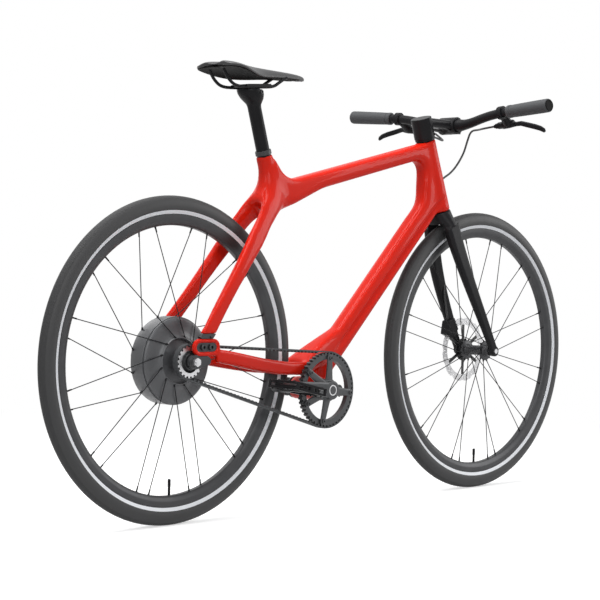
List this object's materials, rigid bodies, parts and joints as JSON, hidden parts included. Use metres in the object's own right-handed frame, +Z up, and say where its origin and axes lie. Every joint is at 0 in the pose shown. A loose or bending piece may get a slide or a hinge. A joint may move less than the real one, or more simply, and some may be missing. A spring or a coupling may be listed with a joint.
{
  "type": "electric bicycle",
  "caption": "Light electric city bicycle with a moulded frame, rigid fork, rear hub motor, toothed belt drive and disc brakes.",
  "frame": {"origin": "rider's seat point, on top of the saddle in the centre plane", "axes": "+X forward, +Y to the rider's left, +Z up; the drive side is -Y"},
  "size_m": [1.704, 0.6228, 0.9769],
  "materials": {
    "frame_red": "gloss",
    "satin_black": "satin",
    "dark_alloy": "satin anodised",
    "bright_steel": "satin",
    "spoke_black": "black oxide",
    "tyre_black": "matt",
    "belt_rubber": "matt",
    "grip_rubber": "matt",
    "saddle_cover": "satin",
    "black_plastic": "satin",
    "hose_black": "satin"
  },
  "bodies": {
    "frame": {"main_frame": "frame_red", "seat_stay_left": "frame_red", "seat_stay_right": "frame_red", "chain_stay_left": "frame_red", "chain_stay_right": "frame_red", "dropout_left": "dark_alloy", "dropout_right": "dark_alloy", "belt_split_band": "satin_black", "seat_collar": "dark_alloy", "seatpost": "satin_black", "saddle_clamp": "dark_alloy", "saddle_rails": "spoke_black", "saddle_shell": "black_plastic", "saddle_pad": "saddle_cover", "crank_bearings": "dark_alloy", "motor_axle": "bright_steel", "rear_caliper": "dark_alloy", "rear_brake_hose": "hose_black", "belt": "belt_rubber"},
    "steering": {"fork": "satin_black", "headset_cover": "satin_black", "stem": "satin_black", "handlebar": "satin_black", "bar_end_plugs": "dark_alloy", "grip_left": "grip_rubber", "grip_right": "grip_rubber", "brake_lever_left": "satin_black", "brake_lever_right": "satin_black", "front_caliper": "dark_alloy", "front_axle": "bright_steel", "front_brake_hose": "hose_black"},
    "front_wheel": {"front_tyre": "tyre_black", "front_rim": "satin_black", "front_spokes": "spoke_black", "front_hub": "dark_alloy", "front_disc": "bright_steel"},
    "rear_wheel": {"rear_tyre": "tyre_black", "rear_rim": "satin_black", "rear_spokes": "spoke_black", "motor_hub": "dark_alloy", "rear_disc": "bright_steel"},
    "rear_sprocket": {"rear_sprocket": "dark_alloy"},
    "crankset": {"crank_spindle": "dark_alloy", "crank_left": "dark_alloy", "crank_right": "dark_alloy", "belt_ring": "dark_alloy"},
    "pedal_left": {"pedal_left": "black_plastic"},
    "pedal_right": {"pedal_right": "black_plastic"}
  },
  "joints": [
    {"name": "steering_turn", "type": "hinge", "parent": "frame", "child": "steering", "pos_m": [0.67064, 0, -0.288], "axis": [-0.3173, 0, 0.9483], "range_deg": [-70, 70], "deforming": ["rear_brake_hose"]},
    {"name": "front_wheel_spin", "type": "hinge", "parent": "steering", "child": "front_wheel", "pos_m": [0.82798, 0, -0.629], "axis": [0, 1, 0], "continuous": true},
    {"name": "rear_wheel_spin", "type": "hinge", "parent": "frame", "child": "rear_wheel", "pos_m": [-0.19002, 0, -0.629], "axis": [0, 1, 0], "continuous": true},
    {"name": "crank_spin", "type": "hinge", "parent": "frame", "child": "crankset", "pos_m": [0.22423, 0, -0.702], "axis": [0, 1, 0], "continuous": true},
    {"name": "rear_sprocket_spin", "type": "hinge", "parent": "frame", "child": "rear_sprocket", "pos_m": [-0.19002, 0, -0.629], "axis": [0, 1, 0], "continuous": true},
    {"name": "pedal_left_spin", "type": "hinge", "parent": "crankset", "child": "pedal_left", "pos_m": [0.39608, 0.13, -0.71703], "axis": [0, 1, 0], "continuous": true},
    {"name": "pedal_right_spin", "type": "hinge", "parent": "crankset", "child": "pedal_right", "pos_m": [0.05239, -0.13, -0.68697], "axis": [0, 1, 0], "continuous": true}
  ],
  "couplings": [
    {"joint": "rear_sprocket_spin", "follows": "crank_spin", "ratio": 2.4}
  ]
}
